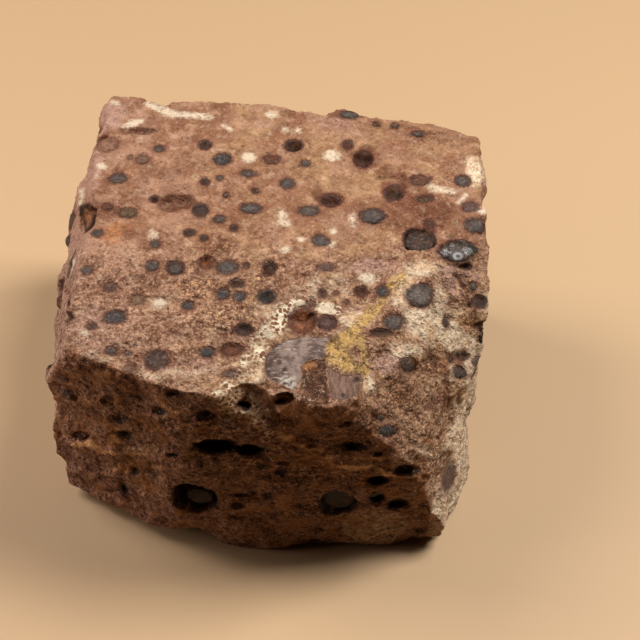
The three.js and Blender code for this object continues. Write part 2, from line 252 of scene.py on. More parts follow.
# Across, up, half width, half height, and a colour and a form. The solid already has the larger
# ones: an empty "socket", one with its heart left in it ("nested", "loose" or "filled"), or one
# "set" in the rock as a dome. The rest are worked in here: "flush" with the rock, hollowed out as
# a "bowl" or a deeper "pit", cut around as a "ring", standing up as a "knob", or a soft lump of
# "chalk".
TOP_PEAS = [
    # back left
    (-27.7, 20.5, 2.0, 1.9, "clay socket"), (-18.4, 19.4, 0.9, 0.9, "slate flush"),
    (-21.1, 16.8, 1.2, 1.2, "tan flush"), (-23.3, 17.2, 0.5, 0.5, "tan flush"),
    (-10.2, 20.4, 1.2, 1.2, "umber bowl"), (-6.9, 16.8, 1.6, 1.5, "ink flush"),
    (-2.4, 17.3, 1.3, 1.2, "white chalk"), (-28, 15.1, 0.9, 0.8, "white chalk"),
    (-25, 12.2, 1.7, 1.2, "slate flush"), (-9.7, 11.4, 0.9, 0.9, "umber bowl"),
    (-7.2, 12.3, 0.6, 0.6, "slate flush"), (-2.3, 13.4, 1.5, 0.8, "slate flush"),
    (-0.9, 9.2, 0.7, 0.7, "umber flush"), (-6, 8.3, 0.6, 0.6, "umber flush"),
    (-18.3, 7.3, 0.7, 0.7, "umber pit"), (-1.5, 5.2, 1.9, 1.2, "slate flush"),
    (-10.1, 4.8, 1.4, 1.5, "ink bowl"), (-6.8, 2.7, 1.0, 0.9, "slate flush"),
    (-4.3, 0.7, 0.8, 0.7, "umber bowl"), (-22.5, 4.1, 1.6, 1.2, "olive flush"),
    (-26.3, 5.5, 0.9, 0.8, "rust flush"), (-28.2, 2.7, 2.3, 2.4, "orange nested"),
    (-27.2, -0.4, 1.0, 0.8, "ink flush"),
    # front left
    (-17.8, -1.4, 0.7, 0.9, "white chalk"), (-17.2, -2.8, 0.9, 0.9, "slate flush"),
    (-11.7, -0.4, 1.0, 0.8, "umber bowl"), (-9.2, -1.6, 0.8, 0.7, "umber bowl"),
    (-17.4, -7.6, 1.1, 1.1, "slate flush"), (-13.6, -8, 1.5, 1.4, "slate ring"),
    (-8.4, -6.9, 1.3, 1.3, "orange socket"), (-5, -7.9, 1.8, 1.5, "slate flush"),
    (-2, -7.6, 0.6, 0.6, "umber flush"), (2, -8.2, 1.1, 1.6, "umber bowl"),
    (-3.3, -11.3, 1.2, 0.9, "umber bowl"), (-5.4, -13.5, 1.1, 1.2, "ink flush"),
    (-2.7, -14, 1.1, 1.0, "ink flush"), (1.6, -14, 1.5, 1.5, "ink socket"),
    (-23.8, -12.1, 1.0, 0.9, "mauve flush"), (-19.2, -14.7, 1.2, 1.0, "tan flush"),
    (-15.6, -15.4, 1.1, 1.0, "white chalk"), (-11.1, -15.9, 1.0, 0.9, "ink flush"),
    (-28.1, -8.5, 0.9, 0.9, "slate flush"), (-22.5, -18.2, 1.8, 1.4, "ink set"),
    (-30, -18.2, 0.8, 0.8, "umber pit"), (-27, -21.3, 0.7, 0.6, "white chalk"),
    (-26, -20, 0.8, 0.7, "umber flush"), (-22.4, -24.8, 0.9, 0.8, "slate flush"),
    (-19.7, -25.3, 0.5, 0.5, "slate flush"), (-15.1, -26.6, 1.8, 1.9, "plum set"),
    (-7.4, -25.1, 1.2, 1.0, "ink flush"), (-3.6, -24.5, 1.9, 1.2, "orange bowl"),
    (-1.8, -20.7, 1.5, 1.2, "ink bowl"), (-3.6, -29.3, 1.3, 0.6, "mauve flush"),
    (-19.2, -28.2, 0.8, 0.7, "tan flush"),
    # back right
    (1.4, 28.1, 1.1, 1.0, "white chalk"), (15.7, 28.2, 1.9, 1.2, "slate flush"),
    (6.3, 24, 0.6, 0.6, "white chalk"), (4, 24.4, 0.6, 0.5, "white chalk"),
    (5.5, 20.2, 1.7, 1.5, "mauve bowl"), (12.3, 17.7, 1.5, 1.4, "white chalk"),
    (15.3, 20.4, 1.0, 1.2, "rust bowl"), (17.9, 16.8, 1.8, 1.9, "rust bowl"),
    (1.8, 16.8, 1.7, 1.2, "rust flush"), (7.7, 15.8, 0.9, 0.8, "slate flush"),
    (4.7, 11, 1.3, 1.3, "slate flush"), (12.1, 6.9, 1.7, 1.4, "rust bowl"),
    (8.4, 4.6, 1.9, 1.2, "slate set"), (3.7, 3.7, 0.9, 0.8, "white chalk"),
    (4.3, 1.8, 1.1, 0.7, "white chalk"), (19.2, 3.4, 2.3, 1.8, "slate set"),
    (15.9, 2.5, 0.6, 1.1, "white chalk"), (23, 8.7, 1.7, 2.0, "rust socket"),
    (27.8, 11.8, 1.9, 1.3, "rust set"), (35.2, 11.6, 1.4, 1.3, "slate flush"),
    (31.6, 9.4, 1.8, 0.7, "white chalk"), (28.4, 7.4, 1.5, 0.9, "umber flush"),
    (36, 5.5, 1.5, 1.2, "mauve flush"), (37.9, 4.7, 1.0, 0.9, "white chalk"),
    (36.6, 1.2, 1.8, 1.9, "slate set"), (28, 23.2, 1.3, 0.7, "slate flush"),
    (20.6, 25.6, 0.8, 0.7, "umber flush"), (23.9, 25.2, 0.8, 0.7, "umber flush"),
    # middle right
    (10.4, -2.1, 1.5, 1.3, "slate flush"), (12.5, 0, 0.7, 0.6, "white chalk"),
    (12.2, -2.8, 0.7, 0.6, "white chalk"), (7.2, -1.8, 0.6, 0.5, "white chalk"),
    (4.6, -4.1, 0.7, 0.7, "white chalk"), (26.9, -1.8, 2.7, 2.6, "plum filled"),
    (28.8, 1.4, 1.0, 1.4, "rust bowl"), (33.2, -4.4, 3.2, 2.4, "glass set"),
    (34.6, -7.6, 0.8, 0.7, "umber pit"), (11.3, -7.9, 1.4, 0.8, "mauve flush"),
    (18, -10.2, 1.5, 1.0, "white chalk"), (17, -13, 1.1, 1.1, "rust bowl"),
    (20.5, -12.9, 1.0, 1.3, "ink flush"), (26.5, -13.8, 2.4, 2.4, "grey set"),
    (10.7, -13.4, 0.7, 0.9, "rust bowl"), (8.9, -15.6, 0.7, 0.7, "rust flush"),
    (12.8, -13.4, 0.5, 0.5, "rust flush"), (14.6, -15.3, 0.5, 0.5, "rust flush"),
    # front right
    (7.5, -18.8, 2.3, 2.6, "orange socket"), (11.3, -19.3, 1.5, 1.4, "mauve ring"),
    (22, -19.2, 1.7, 1.6, "slate set"), (20, -21.3, 1.6, 0.8, "olive bowl"),
    (24, -27.5, 1.2, 1.3, "slate flush"), (36, -15.2, 1.2, 1.4, "slate bowl"),
    (36.5, -20.1, 1.4, 0.9, "umber flush"), (32.4, -25.8, 1.0, 0.8, "umber flush"),
    (31.8, -29, 1.0, 1.1, "slate flush"), (34.8, -27, 0.8, 0.9, "slate flush"),
]

FRONT_PEAS = [
    # left
    (-22.2, 48.7, 1.1, 1.4, "umber bowl"), (-14.5, 45.8, 1.0, 0.9, "umber socket"),
    (-7.6, 45, 1.4, 1.0, "umber socket"), (-1.4, 47.4, 1.1, 1.1, "umber pit"),
    (-10.6, 42.6, 0.8, 0.6, "umber bowl"), (-21.2, 43.7, 1.5, 1.2, "umber socket"),
    (-20.8, 39, 1.1, 1.0, "umber socket"), (-28, 38.5, 1.2, 1.2, "rust ring"),
    (-25.2, 31.4, 1.1, 1, "mauve flush"), (-25.6, 23, 2.4, 2.3, "clay set"),
    (-23.2, 21.4, 0.8, 1.9, "umber socket"), (-20.6, 27.5, 1.0, 1.2, "umber socket"),
    (-13.8, 32.5, 0.9, 0.7, "umber bowl"), (-6.6, 35.2, 3.5, 2.1, "umber socket"),
    (-1, 34.2, 2.3, 1.5, "umber socket"), (0.6, 29, 0.8, 0.8, "ink bowl"),
    (-11.3, 18, 3.8, 4.7, "coal loose"), (-3.3, 19.3, 1.5, 0.6, "umber bowl"),
    (-4.2, 15.6, 1.3, 1.1, "rust bowl"), (-17.7, 10.5, 0.9, 0.9, "rust flush"),
    (1.4, 19, 0.9, 1.1, "ink bowl"), (-1.2, 19.9, 0.5, 0.6, "umber bowl"),
    (3.8, 27.2, 1.0, 1.1, "ink bowl"), (4.8, 49.2, 1.5, 1.7, "coal pit"),
    (4.2, 30.2, 1.0, 0.6, "umber bowl"), (-16.6, 29.8, 0.8, 0.4, "umber bowl"),
    # right
    (15.6, 35.4, 2.2, 1.2, "umber socket"), (19.8, 33, 0.8, 0.7, "umber bowl"),
    (24.7, 27.6, 2, 1.7, "ink socket"), (20, 24.3, 1.8, 1.2, "ink socket"),
    (20.1, 18.2, 1.3, 2.2, "ink socket"), (23.9, 16, 1.8, 2.3, "ink socket"),
    (13.5, 16.2, 3.1, 4.3, "coal filled"), (-11.9, 50.8, 1.0, 0.9, "umber bowl"),
    (9, 35.7, 0.7, 0.6, "umber bowl"), (14.6, 42.3, 0.7, 0.6, "umber bowl"),
    (10.3, 42.3, 0.7, 0.6, "umber bowl"), (6.3, 15.7, 0.6, 0.6, "umber flush"),
    (28.3, 6.2, 0.9, 0.6, "umber bowl"), (21, 40.2, 1.5, 1.6, "ink flush"),
    (31.9, 25.4, 0.95, 4.8, "mauve flush"), (19.7, 44.2, 0.8, 0.9, "slate flush"),
]

# The pisoliths that the solid has on its other sides, spread as they are there: how many, and
# from where to where across and up the side.
HIDDEN_PEAS = {
    "left": (9, (-18, 28), (6, 42)),
    "back": (12, (-27, 28), (7, 44)),
    "right": (7, (-9, 20), (7, 41)),
}
# Smaller ones on every side that has none listed.
SMALL_PEAS = {
    "left": (75, (-24, 33), (2, 47)),
    "back": (90, (-31, 37), (2, 48)),
    "right": (50, (-19, 24), (2, 46)),
    "base": (70, (-34, 36), (-30, 31)),
}
EVEN_STEPS = (0.7549, 0.5698)
SMALL_FROM = 40               # where the small ones start in the spread, clear of the larger ones
HIDDEN_LOOKS = ("umber socket", "slate set", "rust nested")
SMALL_COLOURS = (
    "slate", "umber", "ink", "mauve", "rust", "tan", "white", "umber", "slate", "olive",
)
SMALL_FORMS = ("flush", "bowl", "knob", "flush", "pit", "ring")


def spread(k, window):
    """The k-th place of an even spread over a window on a side."""
    shares = [math.modf(0.5 + step * k)[0] for step in EVEN_STEPS]
    return [low + (high - low) * share for (low, high), share in zip(window, shares)]


def half_sizes(k, least, more, first, longer):
    """Half width and half height of the k-th of a spread, most of them near the least size."""
    high = least + more * math.modf(first + 0.618 * k)[0] ** 2
    return high * (1 + longer * math.modf(0.414 * k)[0]), high


def listed_peas():
    """Every pisolith: side, across, up, half width, half height, turn, look."""
    peas = [("top", *place, 0, look) for *place, look in TOP_PEAS]
    peas += [("front", *place, 0, look) for *place, look in FRONT_PEAS]
    for side, (count, *window) in HIDDEN_PEAS.items():
        for k in range(count):
            sizes = half_sizes(k, least=1.3, more=2, first=0.2, longer=0.3)
            look = HIDDEN_LOOKS[k % len(HIDDEN_LOOKS)]
            peas.append((side, *spread(k, window), *sizes, 50 * k, look))
    for side, (count, *window) in SMALL_PEAS.items():
        for k in range(count):
            sizes = half_sizes(k, least=0.5, more=1.1, first=0.3, longer=0.4)
            colour = SMALL_COLOURS[k * 7 % len(SMALL_COLOURS)]
            form = "chalk" if colour == "white" else SMALL_FORMS[k * 5 % len(SMALL_FORMS)]
            place = spread(k + SMALL_FROM, window)
            peas.append((side, *place, *sizes, 70 * k, f"{colour} {form}"))
    return [pea for pea in peas if sighted(*pea[:3]) is not None]


def rim_centre(side, a, b, reach):
    """The middle of a socket's mouth, from places on the rock around it."""
    ways = ((-1, 0), (1, 0), (0, -1), (0, 1), (-0.7, -0.7), (0.7, 0.7), (0.7, -0.7), (-0.7, 0.7))
    around = [sighted(side, a + reach * i, b + reach * j) for i, j in ways]
    return np.mean([place for place in around if place is not None], axis=0)


# Where the heart of a pisolith sits in its socket, across and up, and how large it is, all as
# shares of the socket's half sizes.
HEARTS = {
    "nested": (0, 0, 0.62),
    "loose": (0.14, -0.24, 0.62),
    "filled": (0.03, 0.05, 0.94),
}


class Pea:
    """One pisolith: its centre, the directions across, up and out of it, and its half sizes."""

    def __init__(self, side, a, b, wide, high, turn, look, places, normals):
        self.colour, self.form = look.split()
        centre = np.array(sighted(side, a, b))
        if self.form in ("socket", *HEARTS):
            centre = rim_centre(side, a, b, 1.3 * max(wide, high))
        near = np.linalg.norm(places - centre, axis=1) < 1.2 * max(wide, high) + 0.8
        out = normals[near].mean(axis=0)
        self.out = out / np.linalg.norm(out)
        across = np.array(SIDES[side][0], float)
        up = np.cross(self.out, across)
        up /= np.linalg.norm(up)
        across = np.cross(up, self.out)
        angle = math.radians(turn)
        self.across = across * math.cos(angle) + up * math.sin(angle)
        self.up = up * math.cos(angle) - across * math.sin(angle)
        self.centre, self.wide, self.high = centre, wide, high
        self.side, self.spot = side, (a, b)
        self.radius = math.sqrt(wide * high)

    def reach(self, places):
        """For points near it on its own face: which, and how far out they are (1 is its rim)."""
        away = places - self.centre
        farthest = 2.6 * max(self.wide, self.high) + 1
        near = np.flatnonzero((away * away).sum(axis=1) < farthest**2)
        away = away[near]
        level = np.abs(away @ self.out) < 1.3 * self.radius + 0.6
        near, away = near[level], away[level]
        across, up = away @ self.across, away @ self.up
        if self.side in ("top", "front") and self.form not in HEARTS:
            across, up = (seen_on(self.side, places[near]) - self.spot).T
        out = np.hypot(across / self.wide, up / self.high)
        return near, out * (1 + uneven[near] * min(self.wide, self.high) / self.radius)

    def heart(self, places):
        """1 on the heart that lies in its socket, 0 around it."""
        across, up, size = HEARTS[self.form]
        away = places - self.centre
        out = np.hypot(away @ self.across / self.wide - across, away @ self.up / self.high - up)
        return soft_step(1.1 * size, 0.9 * size, out)


def bump(out, middle, width):
    """A rounded ridge, one high, around out = middle."""
    return np.exp(-(((out - middle) / width) ** 2))


def relief_of(form, out, r):
    """Height that a pisolith of mean radius r adds, at a distance out from its middle."""
    inside = np.sqrt(np.clip(1 - out * out, 0, 1))
    rim = 0.12 + 0.1 / r
    if form == "flush":
        return 0.02 * r * inside - 0.14 * bump(out, 1, rim)
    if form == "knob":
        return 0.45 * r * inside - 0.18 * bump(out, 1.05, rim)
    if form == "bowl":
        return -0.6 * r * inside**0.8 + 0.06 * r * bump(out, 1.15, rim)
    if form == "pit":
        return -1.1 * r * inside**0.6
    if form == "ring":
        return -0.5 * r * bump(out, 0.88, 0.16) - 0.1 * r * inside
    if form == "chalk":
        return 0.1 * r * inside
    return -0.1 * bump(out, 1, rim)


# ---------------------------------------------------------------- clay and cracks
# Soft clay left in the rock: chalky white streaks, a cream crust full of tiny beads, and a yellow
# ochre patch, with cracks and hollows between the harder parts. All of it is given as it is seen
# from the eye point, on the plane of the top or of the front.

FAR = 4.0                     # distances are no longer told apart beyond this
CRACK_DEPTH = 0.6
ROUGH_WITHIN = 1.5            # the rough surface stays this close to the smooth one


def seen_on(side, places):
    """Where each place lies on the plane of the top or the front, as seen from the eye point."""
    eye = np.array(EYE)
    ways = places - eye
    if side == "top":
        return (eye + ways * ((TOP_PLANE - eye[2]) / ways[:, 2:]))[:, [0, 1]]
    return (eye + ways * ((FRONT_PLANE - eye[1]) / ways[:, 1:2]))[:, [0, 2]]


def in_view(places):
    """1 for each place that can be seen from the eye point, 0 for the others."""
    eye = Vector(EYE)

    def clear(place):
        way = Vector(place) - eye
        reach = smooth_rock.ray_cast(eye, way.normalized())[3]
        return reach is None or reach > way.length - ROUGH_WITHIN

    return np.array([clear(place) for place in places], float)


# Each stroke: the places that it runs through, and its half width at each. Chalk, crust, ochre
# with its trail, and cracks are on the plane of the top.
CHALK_STROKES = [
    [(-21.5, 31, 0.5), (-19, 29.8, 0.9), (-16.5, 28.3, 0.9), (-13, 28, 0.7), (-9.8, 27.6, 0.6)],
    [(-25.2, 25, 0.3), (-23.6, 25.8, 0.9), (-22, 26.6, 0.5)],
    [(-27.9, 31.3, 0.5), (-27, 31, 0.3)],
    [(-7.2, 25.4, 0.2), (-5.9, 24.4, 0.5)],
    [(26.6, 12.4, 0.2), (30, 10.2, 0.5), (33.4, 8.9, 0.5)],
    [(34.3, 6.4, 0.3), (35.4, 8.3, 0.3)],
    [(-17.9, -0.2, 0.4), (-17.6, -2.2, 0.6)],
    [(-31, 9.5, 0.4), (-30.8, 5.5, 0.3)],
    [(5.9, -16.6, 0.4), (6.8, -15.6, 0.6), (7.6, -15.2, 0.3)],
    [(10.2, -16, 0.5), (11.2, -16.5, 0.7), (12.8, -17, 0.3)],
    [(2, -21.5, 0.7), (2.2, -21.3, 0.7)],
]
CRUST_STROKES = [
    [
        (-3.4, -31.6, 0.9), (-1.6, -29.4, 1.3), (-0.2, -26.6, 1.1), (1.2, -22.5, 0.8),
        (3.2, -19.6, 1.2), (5.2, -16.9, 1.1), (6.8, -15.6, 0.6),
    ],
    [(8.6, -15.4, 0.3), (10.4, -16.2, 0.8), (12.8, -17, 0.4)],
]
OCHRE_STROKES = [
    [(12, -24, 0.9), (13.2, -25.6, 1.9), (14.6, -27.2, 1.4), (16.2, -28, 0.9), (17.6, -29, 0.5)],
    [(12.8, -24, 1.3), (14.4, -22.4, 1.7), (15.6, -20.8, 0.8)],
    [(16.4, -22.4, 0.7), (17.1, -25, 0.6), (17.4, -27.6, 0.4)],
]
TRAIL_STROKES = [
    [
        (15.6, -20.8, 0.9), (17.2, -19, 1), (18.8, -17, 0.8), (20.3, -14.8, 0.5),
        (21.6, -12.4, 0.7), (23.3, -10.2, 1),
    ],
]
CRACKS = [
    [(-25.5, 24.4, 0.3), (-22, 24.5, 0.4), (-19, 24.2, 0.3)],
    [(20.2, 12.5, 0.2), (24.4, 12.8, 0.3), (27, 11.6, 0.1)],
    [(5.7, -18.4, 0.1), (7.6, -19.4, 0.3), (9.1, -17.8, 0.2)],
    [(30.4, -3, 0.3), (31.6, -7.2, 0.3), (34.8, -8, 0.4)],
    [(32.6, -9.6, 0.3), (34, -12, 0.3), (34.6, -16, 0.4)],
    [
        (10.8, -25.8, 0.2), (11, -27.5, 0.3), (10.4, -29.8, 0.2), (11.2, -31.6, 0.3),
        (11.4, -34.4, 0.3),
    ],
    [(7.2, -27.2, 0.1), (8.8, -26.6, 0.2), (10.6, -26.2, 0.1)],
]
# Rough hollows on each side: across, up, half width, half height, depth.
HOLLOWS = {
    "top": [
        (-14.6, 6.6, 3.2, 2.0, 1.1), (12.4, 7.4, 2.2, 1.5, 0.9), (9.8, 9.3, 0.9, 1.8, 0.7),
        (18.2, 17.6, 1.5, 2.4, 0.9), (-22, 23.8, 3.2, 0.6, 0.6), (24.5, 11, 1.2, 1.6, 0.8),
        (1.2, -9.2, 0.7, 1.4, 0.6), (9.4, -30.4, 1.7, 3, 0.7), (36.6, -19.8, 1.8, 0.7, 0.6),
        (33, -26, 1.5, 0.7, 0.6), (27.6, -27, 1, 1, 0.4), (30.4, -26.3, 0.9, 0.9, 0.4),
    ],
    "front": [
        (-6.4, 35.5, 4.2, 1.8, 1.4), (-0.8, 34.6, 2.6, 1.4, 0.9), (20.2, 18.4, 1.3, 1.9, 0.9),
        (24, 15.9, 1.9, 1.8, 0.9), (24.7, 27.6, 2, 1.7, 0.7), (20, 24.4, 1.9, 1.2, 0.6),
    ],
}
# Pale clay has run down the front in streaks, and beside the pebble in a lace of crust.
FLOW_STROKES = [
    [
        (-29.3, 35.6, 0.5), (-27.4, 37, 1), (-25.3, 33.8, 0.4), (-23, 33.2, 0.3),
        (-20.7, 33.2, 0.3), (-18.3, 33, 0.2),
    ],
    [(-23.2, 40.4, 0.3), (-21.6, 40.8, 0.3)],
    [(-22.9, 37.2, 0.7), (-22.6, 38.6, 0.6)],
    [
        (10.4, 34.3, 0.3), (11.6, 32, 0.4), (12.6, 29, 0.5), (16.4, 28.5, 0.7), (19, 28.8, 0.5),
        (21.4, 26.4, 0.6), (26, 25.7, 0.3),
    ],
    [(3, 39.4, 0.6), (6, 37.4, 0.8), (8.6, 34.4, 0.5)],
    [(12, 32.4, 0.2), (16, 32, 0.3), (21, 31.4, 0.2)],
    [(-14, 47.6, 0.2), (-12, 45.6, 0.2)],
    [(-24, 28, 0.2), (-22.6, 28.8, 0.2), (-21.9, 27.4, 0.2)],
]
LACE_STROKES = [
    [
        (-4.6, 50.5, 1.2), (-4, 47, 1.4), (-3, 44.6, 1.2), (-0.6, 43.6, 0.9), (1.2, 41, 0.7),
        (2.6, 38.6, 0.4),
    ],
    [(-1.8, 51, 0.9), (-0.6, 49.8, 0.9), (-0.2, 47, 0.6), (-0.6, 44.5, 0.8)],
]


def from_stroke(stroke, marks):
    """Signed distance from a stroke's edge: below zero is on the stroke."""
    nearest = np.full(len(marks), np.inf)
    for (*start, half_start), (*end, half_end) in zip(stroke, stroke[1:]):
        start, along = np.array(start), np.subtract(end, start)
        share = np.clip((marks - start) @ along / (along @ along), 0, 1)
        away = np.linalg.norm(marks - start - share[:, None] * along, axis=1)
        nearest = np.minimum(nearest, away - half_start - share * (half_end - half_start))
    return nearest


def from_strokes(strokes, marks, view):
    """The same from the nearest of several strokes, which are only where the eye sees them."""
    nearest = np.min([from_stroke(stroke, marks) for stroke in strokes], axis=0)
    return np.where(view > 0, np.minimum(nearest, FAR), FAR)


# Soft stains on each side: across, up, half width, half height, strength. Pale is bleached cream
# clay, rusty is crumbly red-brown, and film is a thin pinkish-grey skin, which on the lower left
# of the front and on faces turned to the left is also painted light.
PALE_SPOTS = {
    "top": [
        (31, -20.5, 4.2, 5, 1.1), (27, -19, 3.8, 3.6, 0.95), (30, -24, 3, 2.4, 0.9),
        (24, -24.9, 3.2, 1.8, 0.95), (36, -25, 2.8, 4, 0.85), (27, -8, 3.4, 1.8, 0.8),
        (24, -12.5, 2.4, 3.6, 0.85), (29.6, -14.5, 1.6, 3, 0.75), (30.8, -31, 0.7, 5, 0.8),
        (15.6, -18.6, 2.4, 2.4, 0.7), (-0.5, -28.5, 2.5, 3, 0.8), (17.8, -31, 1.2, 1.8, 0.7),
        (34, -31, 2.5, 4, 0.8), (37.5, 14, 1.8, 4, 0.9), (3, -17, 4, 3, 0.45),
        (11, -12, 5, 4, 0.35), (-13, -29.2, 8, 1.5, 0.34), (-24, -26, 5, 1.2, 0.28),
    ],
    "front": [
        (20, 7, 6, 7, 0.9), (-1.5, 46, 3.2, 3, 1.2), (27, 34.5, 1.6, 2, 0.9),
        (23.5, 30, 1.5, 3, 0.5), (-22, 34.5, 7, 1.2, 0.45),
    ],
}
RUSTY_SPOTS = {
    "top": [
        (-14, 6.4, 3.7, 2.5, 1), (12, 7.2, 3, 2, 0.9), (18.6, 17, 2.6, 3.6, 0.9),
        (-22, 24.2, 3.5, 0.7, 0.8), (27, 4, 9, 6, 0.85), (23, 9.5, 3, 3, 0.8), (2, -9, 3, 3, 0.7),
        (-4, -18, 5.5, 4.5, 0.9), (-9, -12, 5, 3, 0.7), (-7, -3, 4.5, 3, 0.8), (-4, 2, 6, 3, 0.5),
        (-26, 4, 3, 3, 0.5), (-20, -20.6, 3.4, 1.4, 0.5), (22, 14, 4, 2, 0.5), (34, 0, 3, 4, 0.6),
        (-12, 20.6, 5, 2.4, 0.4), (34, -12, 2, 5, 0.6), (9.3, -30.5, 1.8, 3.6, 1),
        (-23, -0.6, 4, 2.4, 0.5), (5, 24, 6, 4, 0.3), (23, -34, 6, 5, 0.5), (27, -42, 5, 6, 0.5),
        (37, -20, 2, 1.4, 0.9), (27, -28, 3, 1.6, 0.6),
    ],
    "front": [
        (-5, 42, 14, 5, 0.7), (8, 30, 16, 8, 0.6), (18, 40, 6, 4, 0.5),
    ],
}
FILM_AND_LIGHT_SPOTS = {
    "top": [
        (16, -18, 1.8, 2.4, 0.9), (13.4, -21.2, 1.6, 1, 0.7), (21, -27, 3.4, 2.4, 0.7),
        (-28, 28, 4, 5, 0.7), (-30, 16, 3, 12, 0.6), (-30, -4, 2.5, 10, 0.5),
        (33, -10, 4, 5, 0.7), (19, -8, 6, 2.5, 0.6), (13, 26, 6, 2.5, 0.5), (-24, -20, 8, 7, 0.5),
        (-8, -28, 5, 2.5, 0.5), (0, 26, 9, 3, 0.4),
    ],
    "front": [
        # The two on the lower left: film and painted light where that part turns to the left.
        (-32, 20, 7, 24, 0.9), (-20, 11, 14, 10, 0.8), (-6, 5, 10, 5, 0.5), (20, 8, 7, 8, 0.8),
    ],
}


def stained(spots, marks, view):
    """How much each place is stained, from 0 to 1."""
    weight = np.zeros(len(view))
    for side, listed in spots.items():
        for a, b, wide, high, strength in listed:
            away = np.hypot((marks[side][:, 0] - a) / wide, (marks[side][:, 1] - b) / high)
            weight = np.maximum(weight, strength * soft_step(1.35, 0.35, away))
    return weight * view


# ---------------------------------------------------------------- pebble
# A smooth mauve-grey pebble is fused into the front edge. A chip of it has broken away down to
# rough brown rock, and a second, striped piece stands against that across an open crack. The
# solid has its shape, and its outlines are given here on the plane of the top.

PEBBLE_OUTLINE = [
    (1.8, -28.6), (1.8, -26), (2.6, -24.8), (3.6, -23.6), (5.4, -22.6), (8, -22.1), (12, -22.2),
    (11, -24.2), (11.1, -26), (8.2, -26.7), (7.2, -28), (7.6, -29.6), (6.4, -32.2), (4.4, -31.2),
    (2.6, -30.2),
]
CHIP_OUTLINE = [
    (7.2, -27.2), (9.3, -26.8), (11.1, -26.6), (11.2, -29.1), (11.4, -32.2), (11.4, -34.8),
    (7.4, -34.8), (7.2, -31.8), (7.6, -29.6),
]
STRIPED_OUTLINE = [
    (11.3, -27.6), (12.8, -28.9), (14.4, -29.6), (16.4, -29.2), (17, -30.4), (16.4, -32.4),
    (15.2, -33.6), (13.4, -34.2), (12, -33.6), (11.6, -31),
]


def from_outline(outline, marks, view):
    """Signed distance from a closed outline: below zero is inside it."""
    corners = np.array(outline)
    away = np.full(len(marks), np.inf)
    inside = np.zeros(len(marks), bool)
    for start, end in zip(corners, np.roll(corners, -1, axis=0)):
        along = end - start
        share = np.clip((marks - start) @ along / (along @ along), 0, 1)
        away = np.minimum(away, np.linalg.norm(marks - start - share[:, None] * along, axis=1))
        crosses = (start[1] > marks[:, 1]) != (end[1] > marks[:, 1])
        at = start[0] + (marks[:, 1] - start[1]) * along[0] / (along[1] or 1e-9)
        inside ^= crosses & (marks[:, 0] < at)
    return np.where(view > 0, np.minimum(np.where(inside, -away, away), FAR), FAR)


# ---------------------------------------------------------------- working the surface
# The break is rough all over, calmer on the pisoliths and on the pebble. Then the pisoliths,
# the cracks, the hollows and the edges of the pebble are worked in.

CALM = 0.55                   # how rough the calmer parts are, against the crumbly ones
HIDDEN_ROUGH = 0.8            # how much of the way to crumbly the hidden sides are
STONE_ROUGH = 0.15            # how rough the pebble is, against the rock around it
PEA_CALM = 0.65               # how much of the roughness a pisolith loses
FOOT = 1.2                    # height over which the broken surface starts above the base
UNEVEN = 0.22                 # how far the pisoliths are out of true, and over what length
UNEVEN_LENGTH = 1.6
ROUGHNESS = [                 # spacing and height of what covers the break
    ("lumps", 3.6, 1.5), ("crumbs", 1.7, 0.95), ("grit", 0.8, 0.65),
]
PEBBLE_EDGE = 0.35            # depth and half width of the grooves around the pebble
STRIPED_EDGE = 0.3            # and around the striped piece
WEIGHT_STEPS = 20
SEEN_SHARE = 0.74             # share of the triangles kept where the stone is seen from close by
HIDDEN_SHARE = 0.21           # and where it is not


def weigh(obj, name, weights):
    """A vertex group with these weights, in even steps from 0 to 1."""
    group = obj.vertex_groups.new(name=name)
    steps = np.rint(np.clip(weights, 0, 1) * WEIGHT_STEPS).astype(int)
    for step in range(WEIGHT_STEPS + 1):
        group.add(np.flatnonzero(steps == step).tolist(), step / WEIGHT_STEPS, "REPLACE")


places = points_of(rock)
normals = normals_of(rock)
view = in_view(places)
marks = {side: seen_on(side, places) for side in ("top", "front")}
uneven = UNEVEN * noise_over(places, UNEVEN_LENGTH, 4.4)
peas = [Pea(*entry, places, normals) for entry in listed_peas()]
above_base = soft_step(0, FOOT, places[:, 2])

pebble = from_outline(PEBBLE_OUTLINE, marks["top"], view)
striped = from_outline(STRIPED_OUTLINE, marks["top"], view)
rusty = stained(RUSTY_SPOTS, marks, view)
rough = CALM + (1 - CALM) * np.maximum(rusty, HIDDEN_ROUGH * (1 - view))
rough *= soft_step(-0.3, 0.5, np.minimum(pebble, striped)) * (1 - STONE_ROUGH) + STONE_ROUGH
for pea in peas:
    near, out = pea.reach(places)
    rough[near] *= 1 - PEA_CALM * soft_step(1.1, 0.8, out)
weigh(rock, "rough", rough * above_base)
for name, spacing, height in ROUGHNESS:
    texture = bpy.data.textures.new(name, "CLOUDS")
    texture.noise_scale = spacing * MM
    texture.noise_depth = 1
    finish_with(
        rock,
        "DISPLACE",
        texture=texture,
        texture_coords="LOCAL",
        mid_level=0.5,
        strength=height * MM,
        vertex_group="rough",
    )

